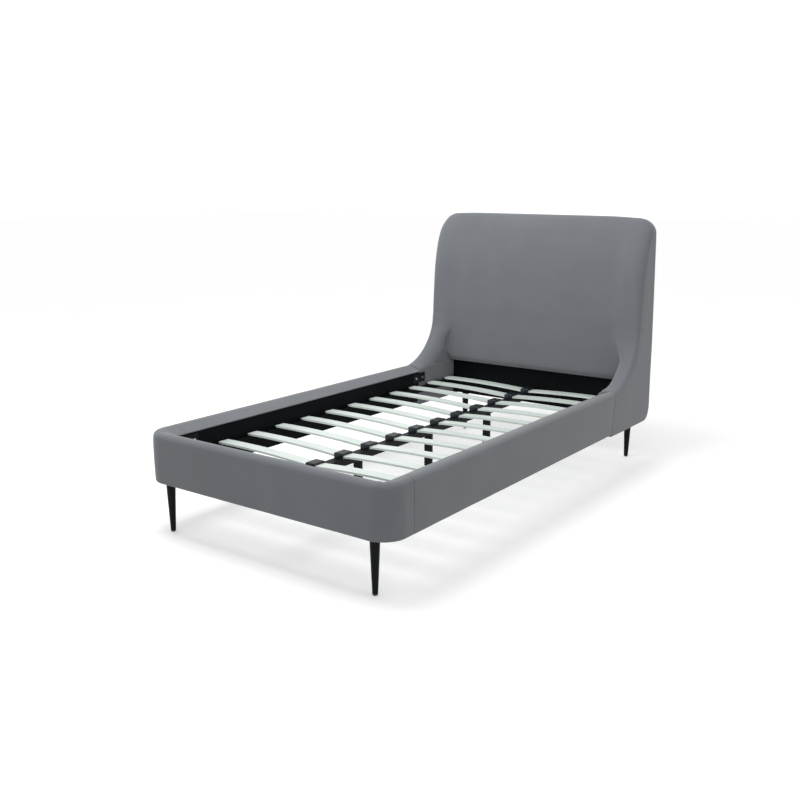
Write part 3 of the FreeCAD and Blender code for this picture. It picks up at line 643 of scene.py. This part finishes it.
def wing_ring(t, side, inset):
    """One closed ring of a wing, drawn as (x, depth behind its front edge): round the
    outer back edge, along the outer face, over the front to the ridge, down the inner
    wall to the headboard's cover, and back inside it."""
    front, behind = row(t)
    line = (behind - front).normalized()
    length = (behind - front).length
    depth = panel_depth(front, behind)
    ridge_curve, hollow_curve = shell_curves(depth, smoothstep(0, 120 * MM, t))
    outer = outer_edge(front.y, side) - inset
    corner, corner_reach = outer_round(front.y)
    corner = min(corner, 0.6 * length)
    back_round = min(BACK_ROUND, 0.42 * length)
    ridge_x = min(ridge_curve[0].x, outer - corner_reach - 4 * MM)
    shift = ridge_x - ridge_curve[0].x

    points = corner_arc((INNER_X, length), (outer, length - inset), (outer, 0), back_round, 5)
    points += between(points[-1], Vector((outer, corner + inset)), 16)
    points += corner_arc((outer, length), (outer, inset), (0, inset), (corner, corner_reach), 7)
    points += between(points[-1], Vector((ridge_x, inset)), 5)
    for k in range(9):
        rest = 1 - k / 8
        points.append(bezier(ridge_curve, k / 8) + Vector((shift, inset)) * rest)
    bend, turn = ridge_curve[3], hollow_curve[0]
    points += between(bend, turn, 6) + [turn]
    for k, sink in ((1, 0.35 * MM), (2, 0.9 * MM)):
        points.append(bezier(hollow_curve, k / 12) + Vector((0.3, 1)) * sink)

    wall = min(INNER_X, panel_edge(ridge_curve) - 2 * MM)
    hidden = Vector((wall, min(length - 4 * MM, depth + 10 * MM)))
    if depth >= length - MM:
        hidden.y = length - 16 * MM
    back_inside = Vector((wall, length - inset))
    points += between(points[-1], hidden, 2) + [hidden]
    points += between(hidden, back_inside, 5) + [back_inside]
    points = kept_inside(points, length)
    return [to_space(front, line, side, p.x, p.y) for p in points]


def wing_rows():
    """(t, inset) of each ring of a wing, closer together at the seam and on the roll."""
    *near, clear = NEAR_SEAM
    rows = [(d, roll_in(d)) for d in near]
    count = round((FAN - clear) / (12 * MM))
    rows += [(clear + (FAN - clear) * k / count, 0) for k in range(count + 1)]
    count = round(UPRIGHT / (17 * MM))
    rows += [(FAN + UPRIGHT * k / count, 0) for k in range(1, count + 1)]
    return rows + roll_rows()


def make_wing(side, name, mat):
    rings = [wing_ring(t, side, inset) for t, inset in wing_rows()]
    verts, faces = tube(rings)
    return new_piece(name, verts, faces, mat)


def swell_wing(piece):
    """The foam of a wing's outer face stands a little proud in its middle."""
    for v in piece.data.vertices:
        x, y, z = v.co
        if abs(x) > OUTER_X - 1.5 * MM:
            from_seam = smoothstep(0, 90 * MM, y - HEAD_SEAM)
            from_back = smoothstep(-4 * MM, 14 * MM, back_edge(z) - y)
            from_front = smoothstep(0, 60 * MM, y - wing_front(z))
            v.co.x += math.copysign(CROWN * from_seam * from_back * from_front, x)
    piece.data.update()


# ---- the headboard's front ------------------------------------------------------------------

PANEL_THICK = 39 * MM       # from the headboard's front to the back of its padding
EDGE_UP = 20 * MM           # its lower edge, above the CAD pad's
EDGE_ROLL = 9 * MM          # how far it rolls in there


def panel_edge(ridge_curve):
    """x where the headboard's cover ends, under the wing's ridge."""
    return bezier(ridge_curve, 6 / 8).x


def panel_rows():
    """(t, inset) of each ring of the headboard's cover, closer together at its lower edge."""
    edge = PAD_LOW + EDGE_UP
    first = row_through(Vector((panel_front(edge), edge)))
    near = [share * EDGE_ROLL for share in (0, 0.1, 0.35, 1)]
    rows = [(first + d, roll_in(d, EDGE_ROLL)) for d in near]
    start = first + EDGE_ROLL
    rest = FAN + UPRIGHT - start
    count = round(rest / (15 * MM))
    rows += [(start + rest * k / count, 0) for k in range(1, count + 1)]
    return rows + roll_rows()


def panel_ring(t, inset):
    """One closed ring of the headboard's cover, from one wing's ridge to the other's."""
    front, behind = row(t)
    line = (behind - front).normalized()
    length = (behind - front).length
    depth = panel_depth(front, behind)
    ridge_curve, hollow_curve = shell_curves(depth, 1.0)
    limit = outer_edge(front.y, 1) - outer_round(front.y)[1] - 6 * MM
    limit = max(limit, INNER_X + 8 * MM)
    half = []
    for k, sink in ((6, 0.9 * MM), (7, 0.35 * MM)):
        half.append(bezier(ridge_curve, k / 8) + Vector((0, sink)))
    half += [bezier(hollow_curve, k / 12) for k in range(13)]
    half += between(half[-1], Vector((0, depth)), 16) + [Vector((0, depth))]
    half = [Vector((min(p.x, limit), p.y + inset)) for p in half]
    across = half + [Vector((-p.x, p.y)) for p in reversed(half[:-1])]

    behind_depth = min(length - MM, depth + PANEL_THICK)
    if front.y > ROLL_START:
        share = smoothstep(ROLL_START, HEAD_TOP - 25 * MM, front.y)
        behind_depth += (length - behind_depth) * share
    behind_depth -= inset
    edge = half[0].x
    steps = len(across) - 1
    back = [Vector((edge * (2 * k / steps - 1), behind_depth)) for k in range(steps + 1)]
    loop = kept_inside(across + back, length)
    return [to_space(front, line, 1, p.x, p.y) for p in loop]


def make_headboard(mat):
    rings = [panel_ring(t, inset) for t, inset in panel_rows()]
    verts, faces = tube(rings, paired=True)
    return new_piece("headboard_upholstery", verts, faces, mat)


# ---- smaller covered pieces -----------------------------------------------------------------

def rounded_slab(name, corners, thickness, edge, place, steps, mat):
    """A thin padded panel: a grid between two corners given as (u, v), flat behind, with
    rolled edges in front. place(u, v, out) gives the point in space."""
    columns, rows = steps
    rolled = [0, 0.3 * edge, 0.7 * edge]
    (u0, v0), (u1, v1) = corners

    def spread(start, end, count):
        inside = end - start - 2 * edge
        middle = [start + edge + inside * k / count for k in range(count + 1)]
        return [start + d for d in rolled] + middle + [end - d for d in reversed(rolled)]

    us, vs = spread(u0, u1, columns), spread(v0, v1, rows)
    verts, faces = [], []
    for height in (0.0, thickness):
        for v in vs:
            for u in us:
                gap = min(u - u0, u1 - u, v - v0, v1 - v)
                rise = math.sqrt(max(0.0, 1 - (1 - min(1.0, gap / edge)) ** 2))
                verts.append(place(u, v, height * rise))
    width, total = len(us), len(us) * len(vs)
    for j in range(len(vs) - 1):
        for i in range(width - 1):
            a = j * width + i
            faces.append((a, a + 1, a + 1 + width, a + width))
            faces.append(tuple(total + k for k in (a + width, a + 1 + width, a + 1, a)))
    return new_piece(name, verts, faces, mat)


def make_inner_panel(side, name, mat):
    """The flat covered panel under a wing's shell, next to the black cross board."""
    face = INNER_X + 0.4 * MM
    start = high("head_brackets")[1] + 7 * MM
    end = low("headboard_cross_board")[1] - 0.5 * MM
    bottom = high("slat_end_clips")[2] + 2 * MM
    top = PAD_LOW - 3 * MM
    thickness, edge = 2.6 * MM, 3 * MM

    def place(u, v, out):
        return (side * (face - out), u, v)

    return rounded_slab(name, ((start, bottom), (end, top)), thickness, edge, place,
                        (14, 8), mat)


BACK_MARGIN = 26 * MM       # how much of a wing's back edge the back cover leaves open
BACK_SUNK = 1.5 * MM        # how deep the back cover's edge sits in the wings' back edges


def make_back_cover(mat):
    """The covered sheet that closes the back, tacked down along its edges."""
    half = high("headboard_back_cover")[0]
    bottom, top = low("headboard_back_cover")[2], high("headboard_back_cover")[2]
    thickness, edge = 4 * MM, 7 * MM

    def place(u, v, out):
        wide = min(half, outer_edge(v + 2 * edge, u) - BACK_MARGIN)
        return droop((u * wide / half, back_edge(v) - BACK_SUNK + out, v))

    return rounded_slab("back_cover", ((-half, bottom), (half, top)), thickness, edge, place,
                        (36, 30), mat)


# ---- materials ------------------------------------------------------------------------------

def link_noise(nodes, links, coords, scale, detail, rough):
    tex = nodes.new("ShaderNodeTexNoise")
    tex.inputs["Scale"].default_value = scale
    tex.inputs["Detail"].default_value = detail
    tex.inputs["Roughness"].default_value = rough
    links.new(coords, tex.inputs["Vector"])
    return tex.outputs["Fac"]


def ramp(nodes, links, value, stops):
    """A colour ramp of (position, linear RGB) stops."""
    node = nodes.new("ShaderNodeValToRGB")
    elements = node.color_ramp.elements
    while len(elements) < len(stops):
        elements.new(0.5)
    for element, (place, colour) in zip(elements, stops):
        element.position = place
        element.color = (*colour, 1)
    links.new(value, node.inputs["Fac"])
    return node.outputs["Color"]


def scaled(colour, factor):
    """A colour made lighter or darker."""
    return tuple(c * factor for c in colour)


def mix_colour(nodes, links, kind, factor, a, b):
    node = nodes.new("ShaderNodeMix")
    node.data_type = "RGBA"
    node.blend_type = kind
    if isinstance(factor, float):
        node.inputs["Factor"].default_value = factor
    else:
        links.new(factor, node.inputs["Factor"])
    links.new(a, node.inputs["A"])
    links.new(b, node.inputs["B"])
    return node.outputs["Result"]


def maths(nodes, links, kind, a, b):
    """A Math node. a and b are numbers or sockets; MULTIPLY_ADD also adds a half."""
    node = nodes.new("ShaderNodeMath")
    node.operation = kind
    node.inputs[2].default_value = 0.5
    for socket, value in zip(node.inputs, (a, b)):
        if isinstance(value, (int, float)):
            socket.default_value = value
        else:
            links.new(value, socket)
    return node.outputs["Value"]


def bump(nodes, links, height, strength, distance, normal=None):
    node = nodes.new("ShaderNodeBump")
    node.inputs["Strength"].default_value = strength
    node.inputs["Distance"].default_value = distance
    links.new(height, node.inputs["Height"])
    if normal is not None:
        links.new(normal, node.inputs["Normal"])
    return node.outputs["Normal"]


def weave(nodes, links, coords, pitch):
    """Plain weave on each axis plane, blended by the surface's own direction."""
    split = nodes.new("ShaderNodeSeparateXYZ")
    links.new(coords, split.inputs[0])
    waves = {}
    for axis in "XYZ":
        turned = maths(nodes, links, "MULTIPLY", split.outputs[axis], 2 * math.pi / pitch)
        waves[axis] = maths(nodes, links, "SINE", turned, 0)
    geometry = nodes.new("ShaderNodeNewGeometry")
    facing = nodes.new("ShaderNodeSeparateXYZ")
    links.new(geometry.outputs["True Normal"], facing.inputs[0])
    total = None
    for axis, (u, v) in {"X": "YZ", "Y": "XZ", "Z": "XY"}.items():
        over = maths(nodes, links, "MULTIPLY", waves[u], waves[v])
        weight = maths(nodes, links, "ABSOLUTE", facing.outputs[axis], 0)
        weight = maths(nodes, links, "POWER", weight, 3)
        part = maths(nodes, links, "MULTIPLY", over, weight)
        total = part if total is None else maths(nodes, links, "ADD", total, part)
    return maths(nodes, links, "MULTIPLY_ADD", total, 0.5)


def fabric(name, colour, pitch=1.1 * MM, sheen=0.35, roughness=0.86):
    """Woven upholstery: fine weave, threads of slightly different grey, a soft nap."""
    mat, nodes, links, shader = material_nodes(name)
    coords = nodes.new("ShaderNodeTexCoord").outputs["Object"]
    broad = link_noise(nodes, links, coords, 5.5, 3.0, 0.55)
    tone = ramp(nodes, links, broad, [(0.3, scaled(colour, 0.955)), (0.7, scaled(colour, 1.045))])
    threads = link_noise(nodes, links, coords, 950.0, 2.0, 0.6)
    flecks = ramp(nodes, links, threads, [(0.32, (0.86,) * 3), (0.68, (1.12,) * 3)])
    mixed = mix_colour(nodes, links, "MULTIPLY", 0.55, tone, flecks)
    links.new(mixed, shader.inputs["Base Color"])
    worn = link_noise(nodes, links, coords, 40.0, 3.0, 0.6)
    rough = nodes.new("ShaderNodeMapRange")
    rough.inputs["To Min"].default_value = roughness - 0.06
    rough.inputs["To Max"].default_value = roughness + 0.06
    links.new(worn, rough.inputs["Value"])
    links.new(rough.outputs["Result"], shader.inputs["Roughness"])
    cloth = weave(nodes, links, coords, pitch)
    height = maths(nodes, links, "ADD", cloth, threads)
    normal = bump(nodes, links, height, 0.35, 0.25 * MM)
    puckers = link_noise(nodes, links, coords, 14.0, 2.0, 0.45)
    normal = bump(nodes, links, puckers, 0.25, 2.0 * MM, normal)
    links.new(normal, shader.inputs["Normal"])
    shader.inputs["Sheen Weight"].default_value = sheen
    shader.inputs["Sheen Roughness"].default_value = 0.45
    shader.inputs["Specular IOR Level"].default_value = 0.2
    return mat


def birch(name):
    """Pale varnished birch: long fine grain along X, thin pores, laminated edges."""
    mat, nodes, links, shader = material_nodes(name)
    coords = nodes.new("ShaderNodeTexCoord").outputs["Object"]
    stretch = nodes.new("ShaderNodeMapping")
    stretch.inputs["Scale"].default_value = (0.05, 1.0, 1.0)
    links.new(coords, stretch.inputs["Vector"])
    grain = link_noise(nodes, links, stretch.outputs[0], 130.0, 5.0, 0.62)
    pale = (0.70, 0.77, 0.735)
    tone = ramp(nodes, links, grain, [
        (0.28, scaled(pale, 0.80)), (0.5, pale), (0.75, scaled(pale, 1.06))])
    slats = link_noise(nodes, links, coords, 3.3, 1.0, 0.5)
    shade = ramp(nodes, links, slats, [(0.35, (0.93, 0.95, 0.93)), (0.65, (1.0, 1.0, 1.0))])
    mixed = mix_colour(nodes, links, "MULTIPLY", 1.0, tone, shade)
    links.new(mixed, shader.inputs["Base Color"])
    rough = nodes.new("ShaderNodeMapRange")
    rough.inputs["To Min"].default_value = 0.30
    rough.inputs["To Max"].default_value = 0.46
    links.new(grain, rough.inputs["Value"])
    links.new(rough.outputs["Result"], shader.inputs["Roughness"])
    layers = nodes.new("ShaderNodeTexWave")
    layers.wave_type = "BANDS"
    layers.bands_direction = "Z"
    layers.inputs["Scale"].default_value = 130.0
    layers.inputs["Distortion"].default_value = 1.2
    links.new(coords, layers.inputs["Vector"])
    height = maths(nodes, links, "MULTIPLY_ADD", layers.outputs["Fac"], 0.3)
    height = maths(nodes, links, "ADD", height, grain)
    links.new(bump(nodes, links, height, 0.25, 0.2 * MM), shader.inputs["Normal"])
    shader.inputs["Coat Weight"].default_value = 0.15
    shader.inputs["Coat Roughness"].default_value = 0.25
    return mat


def dark_solid(name, colour, roughness, metallic=0.0, gloss=0.2,
               grain_scale=(420.0, 420.0, 420.0), depth=0.12, vary=0.25):
    """Painted wood or metal and moulded plastic: fine texture, uneven gloss, rubbed spots."""
    mat, nodes, links, shader = material_nodes(name)
    coords = nodes.new("ShaderNodeTexCoord").outputs["Object"]
    place = nodes.new("ShaderNodeMapping")
    place.inputs["Scale"].default_value = grain_scale
    links.new(coords, place.inputs["Vector"])
    grain = link_noise(nodes, links, place.outputs[0], 1.0, 3.0, 0.55)
    wear = link_noise(nodes, links, coords, 18.0, 4.0, 0.6)
    tone = ramp(nodes, links, wear, [
        (0.25, scaled(colour, 1 - vary)), (0.6, colour), (0.85, scaled(colour, 1 + 1.6 * vary))])
    links.new(tone, shader.inputs["Base Color"])
    both = maths(nodes, links, "ADD", grain, wear)
    rough = nodes.new("ShaderNodeMapRange")
    rough.inputs["From Max"].default_value = 2.0
    rough.inputs["To Min"].default_value = max(0.05, roughness - 0.12)
    rough.inputs["To Max"].default_value = roughness + 0.12
    links.new(both, rough.inputs["Value"])
    links.new(rough.outputs["Result"], shader.inputs["Roughness"])
    links.new(bump(nodes, links, grain, 0.3, depth * MM), shader.inputs["Normal"])
    shader.inputs["Metallic"].default_value = metallic
    shader.inputs["Specular IOR Level"].default_value = gloss
    return mat


def paint_nodes(mat, *starts):
    """Gives the CAD nodes whose names start so their finished material."""
    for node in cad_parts:
        if node.startswith(starts):
            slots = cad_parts[node].data.materials
            if not slots:
                slots.append(mat)
            for k in range(len(slots)):
                slots[k] = mat


# ---- building the bed -----------------------------------------------------------------------

GREY = (0.160, 0.170, 0.184)
BACK_BLACK = (0.018, 0.019, 0.021)


def cover(piece, slot, *nodes, fill=0.85):
    """Attaches a padded piece to its body and hides the CAD nodes it stands for. Its finish is
    not used.
    """
    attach(piece, BODY)
    if nodes:
        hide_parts(*nodes)


def upholster_side(side, hand, cloth):
    rail = sweep_cover("rail_upholstery_" + hand, rail_path(side), cloth)
    for v in rail.data.vertices:
        v.co.y = tilt(v.co.y, v.co.z)
    wave(rail, FABRIC_WAVE)
    soften(rail)
    cover(rail, "upholstery", "side_rail_cover_" + hand)

    wing = make_wing(side, "wing_upholstery_" + hand, cloth)
    swell_wing(wing)
    wave(wing, 0.6 * MM)
    soften(wing)
    cover(wing, "upholstery", "wing_cover_" + hand)

    inner = make_inner_panel(side, "wing_inner_panel_" + hand, cloth)
    wave(inner, 0.2 * MM)
    cover(inner, "upholstery", fill=0.9)


def upholster():
    cloth = fabric("grey_upholstery", GREY)
    upholster_side(-1, "left", cloth)
    upholster_side(1, "right", cloth)

    foot = sweep_cover("foot_upholstery", foot_path(), cloth)
    foot_pleats(foot)
    wave(foot, FABRIC_WAVE)
    soften(foot)
    cover(foot, "upholstery", "foot_cover")

    panel = make_headboard(cloth)
    soften(panel)
    cover(panel, "upholstery", "headboard_pad")

    backing = make_back_cover(fabric("back_fabric", BACK_BLACK, 0.8 * MM, 0.1, 0.9))
    wave(backing, 0.5 * MM)
    cover(backing, "back_cloth", "headboard_back_cover")


def finish_frame():
    black_wood = dark_solid("black_board", (0.004, 0.005, 0.006), 0.55, gloss=0.05,
                            grain_scale=(60.0, 420.0, 420.0))
    paint_nodes(black_wood, "side_rail_frame", "foot_frame", "headboard_cross_board",
                "slat_ledge", "headboard_beam")
    plywood = dark_solid("plywood", (0.42, 0.30, 0.18), 0.6, grain_scale=(60.0, 300.0, 300.0),
                         vary=0.15)
    paint_nodes(plywood, "headboard_board", "wing_frame")
    paint_nodes(birch("slat_birch"), "slat_left", "slat_right")
    steel = dark_solid("black_steel", (0.006, 0.007, 0.009), 0.42, gloss=0.12,
                       grain_scale=(700.0, 700.0, 700.0), depth=0.06)
    paint_nodes(steel, "centre_rail", "centre_leg", "corner_brackets", "head_brackets")
    legs = dark_solid("leg_black", (0.003, 0.005, 0.006), 0.36, gloss=0.10,
                      grain_scale=(500.0, 500.0, 40.0), depth=0.05)
    paint_nodes(legs, "corner_leg")
    plastic = dark_solid("black_plastic", (0.010, 0.015, 0.021), 0.34, gloss=0.45, depth=0.05,
                         grain_scale=(900.0, 900.0, 900.0))
    paint_nodes(plastic, "slat_centre_caps", "slat_end_clips", "leg_glides", "levelling_foot")
    zinc = dark_solid("zinc_steel", (0.55, 0.56, 0.57), 0.3, metallic=1.0, gloss=0.5,
                      depth=0.04, vary=0.1)
    paint_nodes(zinc, "bracket_bolts")


# ---- camera, light and floor ----------------------------------------------------------------

def add_camera():
    data = bpy.data.cameras.new("photo_camera")
    data.lens = 41.73
    data.sensor_width = 36
    camera = bpy.data.objects.new("photo_camera", data)
    camera.location = (2.2390, -3.2601, 1.2974)
    camera.rotation_euler = (math.radians(90 - 12.71), 0, math.radians(36.25))
    bpy.context.collection.objects.link(camera)
    bpy.context.scene.camera = camera


def add_area(name, place, target, size, power):
    """A square soft light that points at a target."""
    data = bpy.data.lights.new(name, "AREA")
    data.size = size
    data.energy = power
    light = bpy.data.objects.new(name, data)
    light.location = place
    aim = Vector(target) - Vector(place)
    light.rotation_euler = aim.to_track_quat("-Z", "Y").to_euler()
    bpy.context.collection.objects.link(light)


def add_world():
    """A pale surrounding that is lighter overhead. The camera sees plain white."""
    bpy.context.scene.view_settings.view_transform = "Standard"
    world = bpy.data.worlds.new("studio")
    world.use_nodes = True
    bpy.context.scene.world = world
    nodes, links = world.node_tree.nodes, world.node_tree.links
    direction = nodes.new("ShaderNodeTexCoord").outputs["Generated"]
    split = nodes.new("ShaderNodeSeparateXYZ")
    links.new(direction, split.inputs[0])
    height = maths(nodes, links, "MULTIPLY_ADD", split.outputs["Z"], 0.5)
    sky = ramp(nodes, links, height, [
        (0.0, (0.60, 0.60, 0.61)), (0.5, (0.70, 0.70, 0.71)), (1.0, (0.88, 0.88, 0.87))])
    seen = nodes.new("ShaderNodeLightPath").outputs["Is Camera Ray"]
    white = nodes.new("ShaderNodeRGB").outputs[0]
    white.default_value = (1.2, 1.2, 1.2, 1)
    links.new(mix_colour(nodes, links, "MIX", seen, sky, white),
              nodes["Background"].inputs["Color"])


def add_floor():
    """A wide pale floor, which glows a little so that it nearly melts into the white."""
    mat, nodes, links, shader = material_nodes("pale_floor")
    coords = nodes.new("ShaderNodeTexCoord").outputs["Object"]
    mottle = link_noise(nodes, links, coords, 1.5, 2.0, 0.5)
    tone = ramp(nodes, links, mottle, [(0.3, (0.90,) * 3), (0.7, (0.92,) * 3)])
    links.new(tone, shader.inputs["Base Color"])
    shader.inputs["Roughness"].default_value = 0.8
    shader.inputs["Emission Color"].default_value = (1, 1, 1, 1)
    shader.inputs["Emission Strength"].default_value = 0.24
    reach = 40.0
    corners = [(-reach, -reach, 0), (reach, -reach, 0), (reach, reach, 0), (-reach, reach, 0)]
    floor = new_piece("floor", corners, [(0, 1, 2, 3)], mat, smooth=False)
    floor.visible_diffuse = False


def add_studio():
    add_world()
    add_area("head_light", (-0.5, -0.7, 3.0), (0, 1.0, 0.62), 1.6, 46)
    add_area("side_light", (4.2, 0.9, 2.0), (0.5, 0.6, 0.6), 2.5, 3)
    add_floor()


upholster()
finish_frame()
add_camera()
add_studio()
